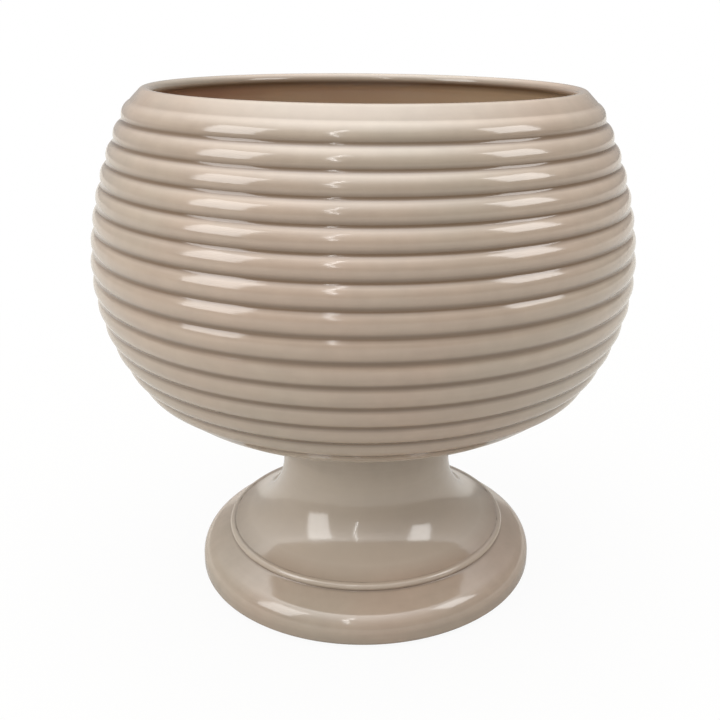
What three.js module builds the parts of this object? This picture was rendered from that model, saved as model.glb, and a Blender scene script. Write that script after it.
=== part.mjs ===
// A jardiniere on its stand: a wide ribbed bowl in glazed ceramic, lifted off the floor by a
// hollow glazed stand. The bowl stands in a recess on top of the stand, on a rubber ring.
// Millimetres, +Z up. The origin is on the floor, under the middle of the stand.
import * as THREE from "three";

// ---- Driving dimensions ----

// Bowl: the groove line is three arcs that run into each other, and the ribs stand on it.
const bowlRadius = 200; // out to the crest of the fullest rib
const shoulderArc = 253; // radius of the flat curve under the rim
const bellyArc = 140.7; // radius of the round belly
const bellyRise = 15.7; // length of the belly arc above the fullest place
const bellyDrop = 89.5; // and below it
const underArc = 75.5; // radius that turns the belly in to the flat underside
const bowlWall = 7;
const lipRadius = 4.6; // half the thickness of the rolled rim
const lipSlope = 45; // degrees from upright, of the plain band that runs up to the rim
const lipRise = 5; // length of that band over the top groove
const lipTuck = 27; // degrees that the rim turns back under itself inside
const ribCount = 14;
const ribHeight = 1.75; // of a rib over its grooves
const topRibWidth = 14.8; // between the two top grooves
const ribGrowth = 0.147; // each rib is this much wider than the one above it
const ribsRise = 121.5; // along the wall, from the fullest place up to the top groove
const footRingRadius = 70; // outside of the ring under the bowl
const footRingWidth = 10;
const drainRadius = 10.5; // hole in the bowl's floor

// Stand, with heights from the underside of its base.
const standHeight = 142; // up to the rim of the seat
const standWall = 7;
const baseRadius = 136;
const landWidth = 13; // flat ring that the base stands on
const heelRadius = 3; // rounding under the base
const baseEdge = 8.5; // height where the base's upper rounding starts
const baseRound = 16.5; // radius of that rounding
const domeSlope = 27; // degrees, of the base's top and of the dome over it
const domeStep = 3.2; // of the dome over the base's top, square to the slope
const beadCircle = 110.4; // radius that the middle of the dome's edge bead follows
const beadRadius = 3;
const beadProud = 1.5; // of the bead over the dome
const neckRadius = 67.5;
const neckArc = 53; // radius of the hollow sweep from the neck into the dome
const seatRadius = 84; // outside of the seat
const seatEdge = 12.5; // height of the seat's upright outside
const seatThickness = 8;
const recessDepth = 9;
const seatDrainRadius = 16; // hole in the middle of the seat

// Soft parts
const ringThickness = 2; // rubber ring between the bowl and the stand
const padThickness = 2;
const padRadius = 5.5;
const padCount = 4;
const plugFlangeRadius = 16;
const plugFlange = 3;
const plugTail = 2; // of the plug's stem below the bowl's floor
const plugWaist = 4.5; // radius under the grip
const plugGripRadius = 6.5;
const plugGripHeight = 13;

// Clearances
const restGap = 0.3; // between a piece and what it rests on
const recessClearance = 1.5; // round the bowl's foot ring
const rimClearance = 1.1; // between the seat's rim and the bowl's underside
const ringInset = 0.5; // of the rubber ring from both sides of the foot ring
const plugClearance = 0.3; // round the plug's stem

// How finely the round surfaces are cut
const turnSteps = 48;
const smallTurnSteps = 24;
const pointsPerRib = 3;

// ---- Levels that follow from them ----

const baseBottom = padThickness + restGap;
const seatRim = baseBottom + standHeight;
const recessFloor = seatRim - recessDepth;
const ringBottom = recessFloor + restGap;
const footRingBottom = ringBottom + ringThickness + restGap;
const footRingInside = footRingRadius - footRingWidth;
const bowlUnderside = seatRim + rimClearance;
const bowlFloor = bowlUnderside + bowlWall;

// ---- Materials ----

const glaze = new THREE.MeshStandardMaterial({ color: 0xb9a593, roughness: 0.12, metalness: 0 });
const rubber = new THREE.MeshStandardMaterial({ color: 0x3a3532, roughness: 0.8, metalness: 0 });
const felt = new THREE.MeshStandardMaterial({ color: 0x6b5b4d, roughness: 1, metalness: 0 });

// ---- Helpers ----

// A profile of [radius, height] points turned round the axis. It runs outwards underneath, up the
// outside and back inside, and closes on itself unless it starts and ends on the axis.
function turned(name, profile, material, steps = turnSteps) {
  const points = profile.map(([r, z]) => new THREE.Vector2(r, z));
  if (profile[0][0] > 0) points.push(points[0].clone());
  const geometry = new THREE.LatheGeometry(points, steps);
  geometry.rotateX(Math.PI / 2);
  const mesh = new THREE.Mesh(geometry, material);
  mesh.name = name;
  return mesh;
}

// Points on an arc round a centre, from one angle in radians to another.
function arc([r, z], radius, from, to, steps) {
  return Array.from({ length: steps + 1 }, (_, i) => {
    const angle = from + ((to - from) * i) / steps;
    return [r + radius * Math.cos(angle), z + radius * Math.sin(angle)];
  });
}

// ---- Bowl ----

const grooveRadius = bowlRadius - ribHeight;
const bellyEnd = bellyDrop / bellyArc; // lean of the wall where the under arc starts, in radians
const underDrop = bellyArc * Math.sin(bellyEnd) + underArc * (1 - Math.sin(bellyEnd));
const bellyHeight = bowlUnderside + underDrop;
const wallEnd = bellyDrop + underArc * (Math.PI / 2 - bellyEnd); // where the wall lies flat

// A point of the groove line, moved in square to the wall by inset. The length along the wall is
// counted from the fullest place, downwards. The lean is the wall's own, in radians from upright.
function wallAt(length, inset = 0) {
  const side = length < 0 ? 1 : -1;
  const secondArc = length < 0 ? shoulderArc : underArc;
  const firstLength = length < 0 ? bellyRise : bellyDrop;
  const along = Math.abs(length);
  const joint = firstLength / bellyArc;
  const lean = along < firstLength ? along / bellyArc : joint + (along - firstLength) / secondArc;
  let inwards = bellyArc * (1 - Math.cos(Math.min(lean, joint)));
  let rise = bellyArc * Math.sin(Math.min(lean, joint));
  if (lean > joint) {
    inwards += secondArc * (Math.cos(joint) - Math.cos(lean));
    rise += secondArc * (Math.sin(lean) - Math.sin(joint));
  }
  return {
    r: grooveRadius - inwards - inset * Math.cos(lean),
    z: bellyHeight + side * (rise - inset * Math.sin(lean)),
    lean,
  };
}

// Points at equal steps along the wall.
function wallLine(from, to, steps, inset = 0) {
  return Array.from({ length: steps + 1 }, (_, i) => {
    const { r, z } = wallAt(from + ((to - from) * i) / steps, inset);
    return [r, z];
  });
}

const grooveAt = (i) => topRibWidth * i + (ribGrowth * i * i) / 2 - ribsRise;

// The ribs from the bottom groove up to the top one, each a low round crest between two grooves.
function ribbedWall() {
  return Array.from({ length: ribCount * pointsPerRib + 1 }, (_, i) => {
    const place = ribCount - i / pointsPerRib;
    const across = (i % pointsPerRib) / pointsPerRib;
    const crest = 4 * across * (1 - across) * ribHeight;
    const { r, z } = wallAt(grooveAt(place), -crest);
    return [r, z];
  });
}

// The plain band over the top groove, which the round rim ends without a step outside. Inside, the
// rim stands out over the wall.
function rolledRim() {
  const { r, z } = wallAt(grooveAt(0));
  const slope = THREE.MathUtils.degToRad(lipSlope);
  const centre = [
    r - lipRise * Math.sin(slope) - lipRadius * Math.cos(slope),
    z + lipRise * Math.cos(slope) - lipRadius * Math.sin(slope),
  ];
  return arc(centre, lipRadius, slope, Math.PI + THREE.MathUtils.degToRad(lipTuck), 7);
}

function bowl() {
  const profile = [
    [drainRadius, bowlUnderside],
    [footRingInside, bowlUnderside],
    [footRingInside, footRingBottom],
    [footRingRadius, footRingBottom],
    [footRingRadius, bowlUnderside],
    ...wallLine(wallEnd, grooveAt(ribCount), 4).slice(0, -1),
    ...ribbedWall(),
    ...rolledRim(),
    ...wallLine(grooveAt(0) + lipRadius / 2, wallEnd, 14, bowlWall),
    [drainRadius, bowlFloor],
  ];
  return turned("bowl", profile, glaze);
}

// ---- Stand ----

function stand() {
  const slope = THREE.MathUtils.degToRad(domeSlope);
  const square = Math.PI / 2 - slope; // direction square to the slope
  const [outwards, upwards] = [Math.cos(square), Math.sin(square)];

  // The base's top slopes up from its rounding, and the dome runs beside it, one step above.
  const roundCentre = [baseRadius - baseRound, baseBottom + baseEdge];
  const baseTop = roundCentre[0] * outwards + roundCentre[1] * upwards + baseRound;
  const onSlope = (r, above) => [r, (baseTop + above - r * outwards) / upwards];

  const beadCentre = onSlope(beadCircle, domeStep + beadProud - beadRadius);
  const beadInside = square + Math.acos((beadRadius - beadProud) / beadRadius);
  const crease = square - Math.acos((beadRadius - beadProud - domeStep) / beadRadius);

  const sweepCentre = onSlope(neckRadius + neckArc, domeStep + neckArc);
  const sweepFoot = Math.PI + square;
  const seatSweep = seatRadius - neckRadius;
  const seatCentre = [seatRadius, seatRim - seatEdge - seatSweep];

  // Inside, the wall keeps its thickness under the base's top, and is thicker in the neck.
  const innerArc = neckArc + domeStep + standWall;
  const landInside = baseRadius - heelRadius - landWidth;
  const seatUnderside = recessFloor - seatThickness;
  const neckInside = sweepCentre[0] - innerArc;

  const profile = [
    [landInside, baseBottom],
    ...arc([baseRadius - heelRadius, baseBottom + heelRadius], heelRadius, -Math.PI / 2, 0, 2),
    ...arc(roundCentre, baseRound, 0, square, 5),
    ...arc(beadCentre, beadRadius, crease, beadInside, 5),
    ...arc(sweepCentre, neckArc, sweepFoot, Math.PI, 6),
    ...arc(seatCentre, seatSweep, Math.PI, Math.PI / 2, 4),
    [seatRadius, seatRim],
    [footRingRadius + recessClearance, seatRim],
    [footRingRadius + recessClearance, recessFloor],
    [seatDrainRadius, recessFloor],
    [seatDrainRadius, seatUnderside],
    [neckInside, seatUnderside],
    ...arc(sweepCentre, innerArc, Math.PI, sweepFoot, 5),
    onSlope(landInside, -standWall),
  ];
  return turned("stand", profile, glaze);
}

// ---- Soft parts ----

function seatRing() {
  const outside = footRingRadius - ringInset;
  const inside = footRingInside + ringInset;
  const profile = [
    [inside, ringBottom],
    [outside, ringBottom],
    [outside, ringBottom + ringThickness],
    [inside, ringBottom + ringThickness],
  ];
  return turned("seat_ring", profile, rubber);
}

function drainPlug() {
  const stemRadius = drainRadius - plugClearance;
  const flangeBottom = bowlFloor + restGap;
  const flangeTop = flangeBottom + plugFlange;
  const gripTop = flangeTop + plugGripHeight;
  const stemBottom = bowlUnderside - plugTail;
  const profile = [
    [0, stemBottom],
    [stemRadius - plugTail / 2, stemBottom],
    [stemRadius, stemBottom + plugTail],
    [stemRadius, flangeBottom],
    [plugFlangeRadius, flangeBottom],
    [plugFlangeRadius, flangeTop - plugFlange / 3],
    [plugFlangeRadius - plugFlange / 3, flangeTop],
    [plugWaist, flangeTop],
    [plugWaist, gripTop - plugGripRadius],
    [plugGripRadius, gripTop - plugGripRadius / 2],
    [plugWaist, gripTop],
    [0, gripTop],
  ];
  return turned("drain_plug", profile, rubber, smallTurnSteps);
}

// Felt pads in the middle of the ring that the base stands on.
function floorPads() {
  const circle = baseRadius - heelRadius - landWidth / 2;
  const geometry = new THREE.CylinderGeometry(padRadius, padRadius, padThickness, smallTurnSteps);
  geometry.rotateX(Math.PI / 2);
  return Array.from({ length: padCount }, (_, i) => {
    const angle = (2 * Math.PI * (i + 0.5)) / padCount;
    const pad = new THREE.Mesh(geometry, felt);
    pad.name = `floor_pad_${i + 1}`;
    pad.position.set(circle * Math.cos(angle), circle * Math.sin(angle), padThickness / 2);
    return pad;
  });
}

const jardiniere = new THREE.Group();
jardiniere.add(bowl(), stand(), seatRing(), drainPlug(), ...floorPads());

export default jardiniere;
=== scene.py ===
import math

import bmesh
import bpy
from mathutils import Matrix, Vector


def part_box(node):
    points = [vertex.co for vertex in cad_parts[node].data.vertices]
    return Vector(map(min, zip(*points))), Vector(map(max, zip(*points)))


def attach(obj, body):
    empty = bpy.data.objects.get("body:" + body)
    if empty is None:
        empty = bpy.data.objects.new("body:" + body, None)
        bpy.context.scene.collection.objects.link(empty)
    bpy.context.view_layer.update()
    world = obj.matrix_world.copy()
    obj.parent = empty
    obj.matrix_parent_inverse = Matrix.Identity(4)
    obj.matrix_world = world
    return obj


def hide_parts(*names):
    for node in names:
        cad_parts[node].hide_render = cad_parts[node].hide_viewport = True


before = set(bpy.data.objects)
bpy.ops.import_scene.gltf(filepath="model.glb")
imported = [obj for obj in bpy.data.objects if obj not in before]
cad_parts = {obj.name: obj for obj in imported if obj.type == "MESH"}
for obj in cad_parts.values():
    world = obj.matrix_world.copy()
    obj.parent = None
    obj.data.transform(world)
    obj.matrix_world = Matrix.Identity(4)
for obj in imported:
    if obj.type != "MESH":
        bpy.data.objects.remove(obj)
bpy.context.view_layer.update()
print("frame loaded with", len(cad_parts), "nodes")

# The camera stands before the ware, tipped down at it, with a slight turn and lean.
camera = {"distance": 0.6917, "height": 0.4271, "tilt": 20.19, "turn": 2.2, "lean": 0.66,
          "lens": 46.28, "sensor": 36, "shift": -0.0552, "clip": (0.01, 50)}
eye = bpy.data.cameras.new("eye")
eye.lens = camera["lens"]
eye.sensor_width = camera["sensor"]
eye.shift_x = camera["shift"]
eye.clip_start, eye.clip_end = camera["clip"]
viewer = bpy.data.objects.new("eye", eye)
viewer.location = (0, -camera["distance"], camera["height"])
aim = Matrix.Rotation(-math.radians(camera["turn"]), 3, "Z")
aim = aim @ Matrix.Rotation(math.radians(90 - camera["tilt"]), 3, "X")
aim = aim @ Matrix.Rotation(math.radians(camera["lean"]), 3, "Z")
viewer.rotation_euler = aim.to_euler()
bpy.context.scene.collection.objects.link(viewer)
bpy.context.scene.camera = viewer
bpy.context.scene.view_settings.view_transform = "Standard"
print("camera set")


def arcPoints(centre, radius, start, end, steps):
    turns = [start + (end - start) * i / steps for i in range(steps + 1)]
    return [(centre[0] + radius * math.cos(a), centre[1] + radius * math.sin(a)) for a in turns]


meshing = {"mergeWithin": 1e-6, "easingSegments": 3}


# A closed outline of (radius, height, pooling and painted light) turned round the axis. Corners sharper
# than
# easedFrom, in degrees, are eased.
# Pooling and painted light are kept on the points: 1 where glaze gathers in the grooves and crease,
# deepened there by painted shade, and under the rim as painted shadow; -1 where it runs thin over the bead
# and where the stand's neck is painted paler as painted light; 0 elsewhere; and 2 where the bowl has its
# inner coat, itself painted lighter to the right and shaded to the left.
def turnedPiece(name, outline, steps, easing, easedFrom=40):
    mesh = bmesh.new()
    pooling = mesh.verts.layers.float.new("pooling")
    ring = []
    for radius, height, poolAndShading in outline:
        ring.append(mesh.verts.new((radius, 0, height)))
        ring[-1][pooling] = poolAndShading
    pairs = list(zip(ring, ring[1:]))
    if outline[0][0] > 0:
        pairs.append((ring[-1], ring[0]))
    edges = [mesh.edges.new(pair) for pair in pairs]
    bmesh.ops.spin(mesh, geom=ring + edges, cent=(0, 0, 0), axis=(0, 0, 1), dvec=(0, 0, 0),
                   angle=math.pi / 4, steps=steps // 8, use_merge=False, use_normal_flip=False,
                   use_duplicate=False)
    for turn in (math.pi / 4, math.pi / 2, math.pi):    # an eighth of a turn, doubled three times
        copied = bmesh.ops.duplicate(mesh, geom=mesh.verts[:] + mesh.edges[:] + mesh.faces[:])
        points = [v for v in copied["geom"] if isinstance(v, bmesh.types.BMVert)]
        bmesh.ops.rotate(mesh, cent=(0, 0, 0), matrix=Matrix.Rotation(turn, 3, "Z"), verts=points)
    bmesh.ops.remove_doubles(mesh, verts=mesh.verts, dist=meshing["mergeWithin"])
    bmesh.ops.recalc_face_normals(mesh, faces=mesh.faces)
    hard = [e for e in mesh.edges if len(e.link_faces) == 2
            and e.calc_face_angle() > math.radians(easedFrom)]
    if hard:
        bmesh.ops.bevel(mesh, geom=hard, offset=easing, offset_type="OFFSET", affect="EDGES",
                        segments=meshing["easingSegments"], profile=0.5, material=-1,
                        clamp_overlap=True)
    return finishedPiece(name, mesh)


def finishedPiece(name, mesh):
    for face in mesh.faces:
        face.smooth = True
    data = bpy.data.meshes.new(name)
    mesh.to_mesh(data)
    mesh.free()
    piece = bpy.data.objects.new(name, data)
    bpy.context.scene.collection.objects.link(piece)
    return piece


def placed(piece, body, node, finish):
    piece.data.materials.append(finish)
    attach(piece, body)
    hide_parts(node)
    print(piece.name, "made with", len(piece.data.polygons), "faces")


# A socket's value, so that shader maths can be written as expressions.
class Value:
    def __init__(self, finish, socket):
        self.finish = finish
        self.socket = socket

    def maths(self, operation, first, second):
        return self.finish.node("ShaderNodeMath", {"operation": operation}, {0: first, 1: second})

    def __add__(self, other):
        return self.maths("ADD", self, other)

    def __radd__(self, other):
        return self.maths("ADD", other, self)

    def __sub__(self, other):
        return self.maths("SUBTRACT", self, other)

    def __rsub__(self, other):
        return self.maths("SUBTRACT", other, self)

    def __mul__(self, other):
        return self.maths("MULTIPLY", self, other)

    def __rmul__(self, other):
        return self.maths("MULTIPLY", other, self)


class Finish:
    def __init__(self, name, owner=None):
        self.owner = owner or bpy.data.materials.new(name)
        self.owner.use_nodes = True
        self.tree = self.owner.node_tree
        self.tree.nodes.clear()
        self.places = self.node("ShaderNodeTexCoord", {}, {}, "Object")

    # Adds a node: its settings first, then a value or a link for each socket.
    def node(self, kind, settings, sockets, output=0):
        made = self.tree.nodes.new(kind)
        for name, setting in settings.items():
            if name == "stops":
                ramp = made.color_ramp.elements
                for _ in setting[2:]:
                    ramp.new(0.5)
                for stop, (place, shade) in zip(ramp, setting):
                    stop.position = place
                    stop.color = (shade, shade, shade, 1)
            else:
                setattr(made, name, setting)
        for name, given in sockets.items():
            if isinstance(given, Value):
                self.tree.links.new(given.socket, made.inputs[name])
            else:
                made.inputs[name].default_value = given
        return Value(self, made.outputs[output]) if made.outputs else None

    def noise(self, scale, detail=2, stretch=(1, 1, 1)):
        places = self.node("ShaderNodeMapping", {}, {"Vector": self.places, "Scale": stretch})
        return self.node("ShaderNodeTexNoise", {}, {"Vector": places, "Scale": scale, "Detail": detail},
                         "Fac")

    def ramp(self, value, *stops):
        return self.node("ShaderNodeValToRGB", {"stops": stops}, {"Fac": value}, "Color")

    def attribute(self, name):
        return self.node("ShaderNodeAttribute", {"attribute_name": name}, {}, "Fac")

    def mix(self, factor, first, second, blend="MIX"):
        return self.node("ShaderNodeMix", {"data_type": "RGBA", "blend_type": blend, "clamp_factor": True},
                         {0: factor, 6: first, 7: second}, 2)

    def bump(self, height, strength, distance):
        sockets = {"Height": height, "Strength": strength, "Distance": distance}
        return self.node("ShaderNodeBump", {}, sockets, "Normal")

    def rays(self, kind):
        return self.node("ShaderNodeLightPath", {}, {}, f"Is {kind} Ray")

    def surface(self, **sockets):
        named = {name.replace("_", " "): given for name, given in sockets.items()}
        shader = self.node("ShaderNodeBsdfPrincipled", {}, named, "BSDF")
        self.node("ShaderNodeOutputMaterial", {}, {"Surface": shader})
        return self.owner


def paint(red, green, blue):
    def linear(part):
        part /= 255
        return part / 12.92 if part <= 0.04045 else ((part + 0.055) / 1.055) ** 2.4
    return (linear(red), linear(green), linear(blue), 1)


glazeLook = {
    "body": paint(154, 142, 127),      # the greige over most of the ware
    "warm": paint(159, 141, 125),      # where a firing cloud turns it pinker
    "pooledAndShaded": paint(88, 65, 41),       # where the glaze gathers in the grooves, with painted shade there, in the crease and under the rim
    "thinAndLit": paint(184, 171, 156),      # where it runs thin over an edge, and painted light on the stand's neck
    "innerCoatLit": paint(187, 168, 142),     # the browner coat inside the bowl, painted lighter as painted light
    "innerCoatShaded": paint(163, 130, 110),  # and that coat painted darker and redder as painted shade
    "roughness": 0.09, "roughnessSpread": 0.06, "ior": 1.68,
    "clouds": 7,                       # patterns to the metre
    "streaks": (9, 9, 160), "streakStrength": 0.22,
    "mottle": 90, "mottleStrength": 0.06,
    "palestShare": 0.8,                   # how far a thin edge, or the painted light on the neck, goes towards the pale tone
    "innerShadeGrowth": 2.5,                  # how fast the painted shade inside the bowl grows towards the left
    "turning": (4, 4, 420), "turningShare": 0.5, "skin": 160,
    "relief": 0.12, "reliefDepth": 0.0004,
}


def glazeFinish():
    g = glazeLook
    finish = Finish("greigeGlaze")
    cloud = finish.ramp(finish.noise(g["clouds"], 3), (0.35, 0), (0.65, 1))
    tone = finish.mix(cloud, g["body"], g["warm"])
    streaks = finish.ramp(finish.noise(1, 3, g["streaks"]), (0.3, 0.38), (0.7, 0.62))
    tone = finish.mix(g["streakStrength"], tone, streaks, "OVERLAY")
    mottle = finish.ramp(finish.noise(g["mottle"], 4), (0.3, 0.25), (0.7, 0.9))
    tone = finish.mix(g["mottleStrength"], tone, mottle, "OVERLAY")
    pooling = finish.attribute("pooling")
    # The pooled tone: glaze gathered in the grooves, the crease and under the rim, deepened by painted
    # shade there; the far rim's inward face gets painted shade too.
    tone = finish.mix(finish.ramp(pooling, (0, 0), (1, 1)), tone, g["pooledAndShaded"])
    # The pale tone: glaze running thin over the bead, and a painted light that brightens the stand's neck
    # sweep.
    tone = finish.mix(finish.ramp(-1 * pooling, (0, 0), (1, g["palestShare"])), tone, g["thinAndLit"])
    # Inside the bowl: a browner coat painted lighter to the right where light falls in, and darker and
    # redder to the left as painted shade.
    across = finish.node("ShaderNodeSeparateXYZ", {}, {"Vector": finish.places}, "X")
    innerShade = finish.ramp(across * g["innerShadeGrowth"] + finish.noise(6, 2), (0.2, 1), (0.7, 0))
    innerCoatLit = finish.mix(innerShade, g["innerCoatLit"], g["innerCoatShaded"])
    tone = finish.mix(finish.ramp(pooling - 1, (0, 0), (1, 1)), tone, innerCoatLit)
    turning = finish.noise(1, 2, g["turning"])
    skin = finish.noise(g["skin"], 2)
    relief = finish.bump(turning * g["turningShare"] + skin, g["relief"], g["reliefDepth"])
    roughness = finish.noise(30, 2) * g["roughnessSpread"] + g["roughness"]
    return finish.surface(Base_Color=tone, Roughness=roughness, Normal=relief, IOR=g["ior"])


rubberLook = {"colour": paint(58, 53, 50), "dust": paint(84, 78, 73), "dustiness": 60,
              "roughness": 0.62, "dustRoughness": 0.2,
              "grain": 900, "relief": 0.3, "reliefDepth": 0.0002}


def rubberFinish():
    r = rubberLook
    finish = Finish("softRubber")
    grain = finish.noise(r["grain"], 3)
    dust = finish.ramp(finish.noise(r["dustiness"], 4), (0.45, 0), (0.8, 0.6))
    tone = finish.mix(dust, r["colour"], r["dust"])
    return finish.surface(Base_Color=tone, Roughness=dust * r["dustRoughness"] + r["roughness"],
                          Normal=finish.bump(grain, r["relief"], r["reliefDepth"]))


feltLook = {"colour": paint(107, 91, 77), "fleck": paint(140, 124, 108), "roughness": 0.95,
            "fibres": 2500, "lie": (1, 1, 0.3), "clumps": 500, "relief": 0.7, "reliefDepth": 0.0005}


def feltFinish():
    f = feltLook
    finish = Finish("pressedFelt")
    fibres = finish.noise(f["fibres"], 4, f["lie"])
    clumps = finish.noise(f["clumps"], 3)
    tone = finish.mix(finish.ramp(fibres, (0.4, 0), (0.7, 1)), f["colour"], f["fleck"])
    return finish.surface(Base_Color=tone, Roughness=f["roughness"],
                          Normal=finish.bump(fibres + clumps, f["relief"], f["reliefDepth"]))


glaze = glazeFinish()
rubber = rubberFinish()
felt = feltFinish()
print("finishes made")

bowlShape = {
    "radius": 0.2, "wall": 0.007,
    "shoulderArc": 0.253, "bellyArc": 0.1407, "underArc": 0.0755,
    "bellyRise": 0.0157, "bellyDrop": 0.0895,
    "ribs": 14, "ribHeight": 0.0021, "grooveRadius": 0.0035, "topRib": 0.0148, "ribGrowth": 0.000147,
    "ribsRise": 0.1215, "poolAndShadeUnder": 0.0028, "poolAndShadeOver": 0.0036,
    "topPoolAndShade": 0.2,                    # how much of its pooled glaze and painted shade the soft groove under the rim holds
    "lipRadius": 0.0046, "lipSlope": 45, "lipRise": 0.009, "lipTuck": 27, "lipSteps": 24,
    "lipPaintedShadow": 1.6, "lipPaintedShadeInside": 0.08,
    "footRing": 0.07, "footRingWidth": 0.01, "footRingHeight": 0.0075, "drain": 0.0105,
    "underSteps": 8, "insideSteps": 40, "turns": 256, "easing": 0.0012,
}
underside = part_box("bowl")[0].z + bowlShape["footRingHeight"]
underLean = bowlShape["bellyDrop"] / bowlShape["bellyArc"]
bellyHeight = (underside + bowlShape["bellyArc"] * math.sin(underLean)
               + bowlShape["underArc"] * (1 - math.sin(underLean)))


# A point of the groove line for a length along the wall counted downwards from the fullest place,
# moved out square to the wall.
def bowlWall(length, outwards=0.0):
    b = bowlShape
    side, second, first = (1, b["shoulderArc"], b["bellyRise"])
    if length > 0:
        side, second, first = (-1, b["underArc"], b["bellyDrop"])
    joint = first / b["bellyArc"]
    along = abs(length)
    lean = along / b["bellyArc"] if along < first else joint + (along - first) / second
    inwards = b["bellyArc"] * (1 - math.cos(min(lean, joint)))
    rise = b["bellyArc"] * math.sin(min(lean, joint))
    if lean > joint:
        inwards += second * (math.cos(joint) - math.cos(lean))
        rise += second * (math.sin(lean) - math.sin(joint))
    radius = b["radius"] - b["ribHeight"] - inwards + outwards * math.cos(lean)
    return radius, bellyHeight + side * (rise + outwards * math.sin(lean))


def grooveAt(index):
    b = bowlShape
    return b["topRib"] * index + b["ribGrowth"] * index * index / 2 - b["ribsRise"]


# One rib from its upper groove to its lower one: hollow at the grooves, round over the crest.
# Gives the distance along the wall and how far the rib stands out of it.
def ribSection(width, flanks=3, crest=4):
    b = bowlShape
    slope = 2 * math.atan(2 * b["ribHeight"] / width)
    hollow = b["grooveRadius"]
    crown = width / 2 / math.sin(slope) - hollow
    half = [(hollow * math.sin(a), hollow * (1 - math.cos(a)))
            for a in (slope * i / flanks for i in range(flanks))]
    half += [(width / 2 - crown * math.sin(a), b["ribHeight"] - crown * (1 - math.cos(a)))
             for a in (slope * (1 - i / crest) for i in range(crest + 1))]
    return half + [(width - x, out) for x, out in reversed(half[1:-1])]


# The points of one rib from its foot up, with the glaze gathered along both grooves and painted shade
# there.
def ribPoints(rib):
    b = bowlShape
    top, width = grooveAt(rib), grooveAt(rib + 1) - grooveAt(rib)
    section = ribSection(width)
    if rib == b["ribs"] - 1:
        section.append((width, 0.0))
    if rib > 0:
        section = section[1:]
    points = []
    for x, out in reversed(section):
        poolAndShading = max(0, 1 - x / b["poolAndShadeUnder"], 1 - (width - x) / b["poolAndShadeOver"])
        if rib == 0 and x < width / 2:
            poolAndShading *= b["topPoolAndShade"]
        points.append((*bowlWall(top + x, out), poolAndShading))
    return points


# The band over the top groove, and the round rim that ends it and tucks back inside.
def rimPoints():
    b = bowlShape
    radius, height = bowlWall(grooveAt(0))
    slope = math.radians(b["lipSlope"])
    outwards, upwards = math.cos(slope), math.sin(slope)
    centre = (radius - b["lipRise"] * upwards - b["lipRadius"] * outwards,
              height + b["lipRise"] * outwards - b["lipRadius"] * upwards)
    points = []
    tuck = math.pi + math.radians(b["lipTuck"])
    for r, z in arcPoints(centre, b["lipRadius"], slope, tuck, b["lipSteps"]):
        # Painted shadow under the roll of the rim, and a little painted shade on its inward face.
        inside = max(0, (centre[0] - r) / b["lipRadius"])
        under = max(0, (centre[1] - z) / b["lipRadius"])
        points.append((r, z, min(1, under * b["lipPaintedShadow"] + inside * b["lipPaintedShadeInside"])))
    return points


def bowlOutline():
    b = bowlShape
    ringBottom = underside - b["footRingHeight"]
    ringInside = b["footRing"] - b["footRingWidth"]
    wallEnd = b["bellyDrop"] + b["underArc"] * (math.pi / 2 - underLean)
    outline = [(b["drain"], underside, 0), (ringInside, underside, 0), (ringInside, ringBottom, 0),
               (b["footRing"], ringBottom, 0), (b["footRing"], underside, 0)]
    steps = b["underSteps"]
    for i in range(steps):
        outline.append((*bowlWall(wallEnd + (grooveAt(b["ribs"]) - wallEnd) * i / steps), 0))
    for rib in reversed(range(b["ribs"])):
        outline += ribPoints(rib)
    outline += rimPoints()
    insideTop, steps = grooveAt(0) + b["lipRadius"] / 2, b["insideSteps"]
    for i in range(steps + 1):
        outline.append((*bowlWall(insideTop + (wallEnd - insideTop) * i / steps, -b["wall"]), 2))
    outline.append((b["drain"], underside + b["wall"], 2))
    return outline


placed(turnedPiece("glazedBowl", bowlOutline(), bowlShape["turns"], bowlShape["easing"]),
       "bowl", "bowl", glaze)

standShape = {
    "wall": 0.007, "base": 0.136, "land": 0.013, "heel": 0.003, "heelSteps": 5,
    "baseEdge": 0.0085, "baseRound": 0.0165, "baseSteps": 14,
    "slope": 27, "domeStep": 0.0032, "bead": 0.003, "beadCircle": 0.1104, "beadProud": 0.0015,
    "beadSteps": 14, "beadPool": -0.6,
    "creaseWidth": 0.0022, "creasePoolAndShade": (0.5, 0.2, 0),
    "neck": 0.0675, "neckArc": 0.053, "sweepPaintedLight": -0.85, "sweepSteps": 26, "innerSteps": 20,
    "seat": 0.084, "seatEdge": 0.0125, "seatThickness": 0.008, "seatSteps": 10,
    "recess": 0.0715, "recessDepth": 0.009, "seatDrain": 0.016,
    "turns": 256, "easing": 0.0012, "easedFrom": 50,
}


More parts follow.
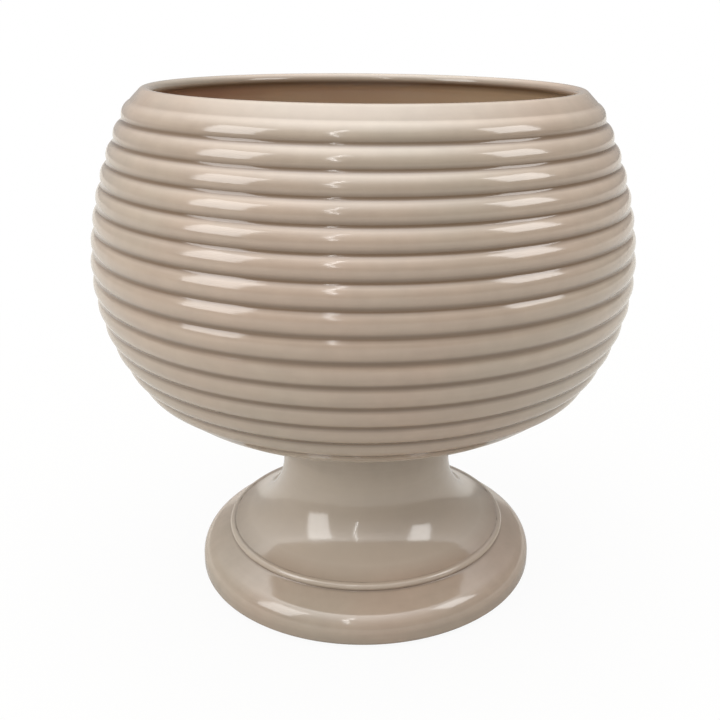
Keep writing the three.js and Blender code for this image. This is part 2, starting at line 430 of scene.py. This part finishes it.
def standOutline():
    s = standShape
    bottom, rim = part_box("stand")[0].z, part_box("stand")[1].z
    square = math.pi / 2 - math.radians(s["slope"])
    outwards, upwards = math.cos(square), math.sin(square)
    heelCentre = (s["base"] - s["heel"], bottom + s["heel"])
    roundCentre = (s["base"] - s["baseRound"], bottom + s["baseEdge"])
    baseTop = roundCentre[0] * outwards + roundCentre[1] * upwards + s["baseRound"]

    def onSlope(radius, above):
        return radius, (baseTop + above - radius * outwards) / upwards

    beadCentre = onSlope(s["beadCircle"], s["domeStep"] + s["beadProud"] - s["bead"])
    beadInside = square + math.acos((s["bead"] - s["beadProud"]) / s["bead"])
    crease = square - math.acos((s["bead"] - s["beadProud"] - s["domeStep"]) / s["bead"])
    sweepCentre = onSlope(s["neck"] + s["neckArc"], s["domeStep"] + s["neckArc"])
    seatSweep = s["seat"] - s["neck"]
    seatCentre = (s["seat"], rim - s["seatEdge"] - seatSweep)
    innerArc = s["neckArc"] + s["domeStep"] + s["wall"]
    landInside = s["base"] - s["heel"] - s["land"]
    recessFloor = rim - s["recessDepth"]
    seatUnder = recessFloor - s["seatThickness"]

    def plain(points):
        return [(r, z, 0) for r, z in points]

    outline = [(landInside, bottom, 0)]
    outline += plain(arcPoints(heelCentre, s["heel"], -math.pi / 2, 0, s["heelSteps"]))
    outline += plain(arcPoints(roundCentre, s["baseRound"], 0, square, s["baseSteps"]))
    bead = arcPoints(beadCentre, s["bead"], crease, beadInside, s["beadSteps"])
    outline += plain([onSlope(bead[0][0] + s["creaseWidth"], 0)])
    # The crease below the bead takes the pooled tone, partly gathered glaze and partly painted shade; the
    # bead's crown runs thin.
    creased = len(s["creasePoolAndShade"]) - 1
    for i, (r, z) in enumerate(bead):
        crown = math.sin(math.pi * (i - creased) / (s["beadSteps"] - creased))
        outline.append((r, z, s["creasePoolAndShade"][i] if i <= creased else s["beadPool"] * crown))
    # The sweep up the neck is painted paler, a painted light.
    for r, z in arcPoints(sweepCentre, s["neckArc"], math.pi + square, math.pi, s["sweepSteps"]):
        outline.append((r, z, s["sweepPaintedLight"]))
    outline += plain(arcPoints(seatCentre, seatSweep, math.pi, math.pi / 2, s["seatSteps"]))
    outline += plain([(s["seat"], rim), (s["recess"], rim), (s["recess"], recessFloor),
                      (s["seatDrain"], recessFloor), (s["seatDrain"], seatUnder),
                      (sweepCentre[0] - innerArc, seatUnder)])
    outline += plain(arcPoints(sweepCentre, innerArc, math.pi, math.pi + square, s["innerSteps"]))
    outline += plain([onSlope(landInside, -s["wall"])])
    return outline


placed(turnedPiece("glazedStand", standOutline(), standShape["turns"], standShape["easing"],
                   standShape["easedFrom"]),
       "stand", "stand", glaze)

ringShape = {"turns": 128, "easing": 0.0007}


def ringOutline():
    low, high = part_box("seat_ring")
    inside = bowlShape["footRing"] - bowlShape["footRingWidth"] + (bowlShape["footRing"] - high.x)
    return [(inside, low.z, 0), (high.x, low.z, 0), (high.x, high.z, 0), (inside, high.z, 0)]


placed(turnedPiece("seatRing", ringOutline(), ringShape["turns"], ringShape["easing"]),
       "seat_ring", "seat_ring", rubber)

plugShape = {"stem": 0.0102, "tail": 0.002, "flange": 0.003, "waist": 0.0045, "grip": 0.0065,
             "gripHeight": 0.013, "gripSteps": 12, "chamfer": 0.001, "turns": 96, "easing": 0.0005}


def plugOutline():
    p = plugShape
    low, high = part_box("drain_plug")
    flangeTop = high.z - p["gripHeight"]
    flangeBottom = flangeTop - p["flange"]
    gripCentre = (p["waist"], high.z - p["grip"] / 2)
    grip = arcPoints(gripCentre, p["grip"] / 2, -math.pi / 2, math.pi / 2, p["gripSteps"])
    squash = (p["grip"] - p["waist"]) / (p["grip"] / 2)
    return [(r, z, 0) for r, z in
            [(0, low.z), (p["stem"] - p["tail"] / 2, low.z), (p["stem"], low.z + p["tail"]),
             (p["stem"], flangeBottom), (high.x, flangeBottom), (high.x, flangeTop - p["chamfer"]),
             (high.x - p["chamfer"], flangeTop), (p["waist"] + p["chamfer"], flangeTop),
             (p["waist"], flangeTop + p["chamfer"])]
            + [(p["waist"] + (r - p["waist"]) * squash, z) for r, z in grip] + [(0, high.z)]]


placed(turnedPiece("drainPlug", plugOutline(), plugShape["turns"], plugShape["easing"]),
       "drain_plug", "drain_plug", rubber)

padShape = {"sides": 48, "easing": 0.0005, "easingSegments": 3, "easedFrom": 60}


# A felt disc with a softly rounded edge.
def feltPad(name, node):
    low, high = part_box(node)
    mesh = bmesh.new()
    bmesh.ops.create_circle(mesh, cap_ends=True, radius=(high.x - low.x) / 2, segments=padShape["sides"])
    lifted = bmesh.ops.extrude_face_region(mesh, geom=mesh.faces[:])
    points = [v for v in lifted["geom"] if isinstance(v, bmesh.types.BMVert)]
    bmesh.ops.translate(mesh, vec=(0, 0, high.z - low.z), verts=points)
    bmesh.ops.recalc_face_normals(mesh, faces=mesh.faces)
    rims = [e for e in mesh.edges if e.calc_face_angle(0) > math.radians(padShape["easedFrom"])]
    bmesh.ops.bevel(mesh, geom=rims, offset=padShape["easing"], offset_type="OFFSET", affect="EDGES",
                    segments=padShape["easingSegments"], profile=0.5, material=-1)
    middle = ((low.x + high.x) / 2, (low.y + high.y) / 2, low.z)
    bmesh.ops.translate(mesh, vec=middle, verts=mesh.verts)
    placed(finishedPiece(name, mesh), "stand", node, felt)


for number in range(1, 5):
    feltPad(f"floorPad{number}", f"floor_pad_{number}")

studio = {
    "floor": 16.0, "paper": (0.5, 0.485, 0.455, 1),
    "shown": 0.94, "shadedTo": 0.25,   # how white the camera sees the floor, and how far out
    "whiteFrom": 0.9,                  # from here out the camera sees it wholly white
    "mirrored": 0.1,                   # how much of the white the gloss sees
    "front": 0.3, "frontTo": 0.25,     # how bright the room is before the ware
    "back": 0.4, "backFrom": 0.6,      # and behind it
    "leftwards": 0.33,                 # how much brighter it is at the left, and darker at the right
    "ceiling": 4.9,                    # the soft glow overhead, and how it grows upwards
    "ceilingGrowth": ((0.3, 0), (0.6, 0.15), (0.8, 0.5), (1, 1)),
}


# White for the camera and a little for the gloss, pale paper for everything else that sees it.
def floorFinish():
    finish = Finish("paleFloor")
    paper = finish.node("ShaderNodeBsdfDiffuse", {}, {"Color": studio["paper"]}, "BSDF")
    glow = finish.node("ShaderNodeEmission", {}, {"Color": (1, 1, 1, 1), "Strength": 1.0}, "Emission")
    away = finish.node("ShaderNodeVectorMath", {"operation": "LENGTH"}, {0: finish.places}, "Value")
    whiteness = finish.ramp(away, (studio["shadedTo"], studio["shown"]), (studio["whiteFrom"], 1))
    shown = finish.rays("Camera") * whiteness
    mirrored = (finish.rays("Glossy") + finish.rays("Transmission")) * studio["mirrored"]
    mixed = finish.node("ShaderNodeMixShader", {}, {0: shown + mirrored, 1: paper, 2: glow}, "Shader")
    finish.node("ShaderNodeOutputMaterial", {}, {"Surface": mixed})
    return finish.owner


floorMesh = bmesh.new()
bmesh.ops.create_grid(floorMesh, x_segments=1, y_segments=1, size=studio["floor"] / 2)
studioFloor = finishedPiece("studioFloor", floorMesh)
studioFloor.data.materials.append(floorFinish())


# A rectangular lamp at a bearing from the front, to the right, and a height above the horizon,
# rolled about the line to its aim. Angles are in degrees.
def softbox(name, look):
    lamp = bpy.data.lights.new(name, "AREA")
    lamp.shape = "RECTANGLE"
    lamp.size, lamp.size_y = look["size"]
    lamp.energy = look["radiance"] * math.pi * look["size"][0] * look["size"][1]
    box = bpy.data.objects.new(name, lamp)
    turn, lift = math.radians(look["bearing"]), math.radians(look["height"])
    way = Vector((math.sin(turn) * math.cos(lift), -math.cos(turn) * math.cos(lift), math.sin(lift)))
    box.location = Vector((0, 0, look["aim"])) + way * look["distance"]
    roll = Matrix.Rotation(math.radians(look["roll"]), 3, "Z")
    box.rotation_euler = (way.to_track_quat("Z", "Y").to_matrix() @ roll).to_euler()
    bpy.context.scene.collection.objects.link(box)


lamps = {
    "leftBox": {"size": (0.77, 1.12), "radiance": 3.8,
                "distance": 1.75, "bearing": -60, "height": 25, "roll": 0, "aim": 0.25},
    "rightBox": {"size": (0.38, 0.42), "radiance": 4.1,
                 "distance": 0.95, "bearing": 67, "height": 31, "roll": 0, "aim": 0.25},
    "upperStrip": {"size": (0.03, 0.46), "radiance": 13,
                   "distance": 1.5, "bearing": -13, "height": 41, "roll": -12, "aim": 0.25},
    "lowerStrip": {"size": (0.03, 0.46), "radiance": 13,
                   "distance": 1.5, "bearing": -13, "height": 24, "roll": 12, "aim": 0.25},
}
for name, look in lamps.items():
    softbox(name, look)


# The room: white for the camera and a little for the gloss. For everything else it is dim before
# the ware and brighter behind it, with a soft ceiling that grows bright upwards.
def roomLight():
    world = bpy.data.worlds.new("studioRoom")
    bpy.context.scene.world = world
    room = Finish("studioRoom", world)
    way = room.node("ShaderNodeTexCoord", {}, {}, "Generated")
    across, along, up = (room.node("ShaderNodeSeparateXYZ", {}, {"Vector": way}, axis) for axis in "XYZ")
    behind = along * 0.5 + 0.5
    level = room.ramp(behind, (studio["frontTo"], studio["front"]), (studio["backFrom"], studio["back"]))
    ceiling = room.ramp(up, *studio["ceilingGrowth"]) * studio["ceiling"]
    lit = (level + ceiling) * (1 - across * studio["leftwards"])
    glow = room.node("ShaderNodeBackground", {}, {"Strength": lit}, "Background")
    white = room.node("ShaderNodeBackground", {}, {"Color": (1, 1, 1, 1)}, "Background")
    shown = room.rays("Camera") + (room.rays("Glossy") + room.rays("Transmission")) * studio["mirrored"]
    mixed = room.node("ShaderNodeMixShader", {}, {0: shown, 1: glow, 2: white}, "Shader")
    room.node("ShaderNodeOutputWorld", {}, {"Surface": mixed})


roomLight()
print("studio set up")
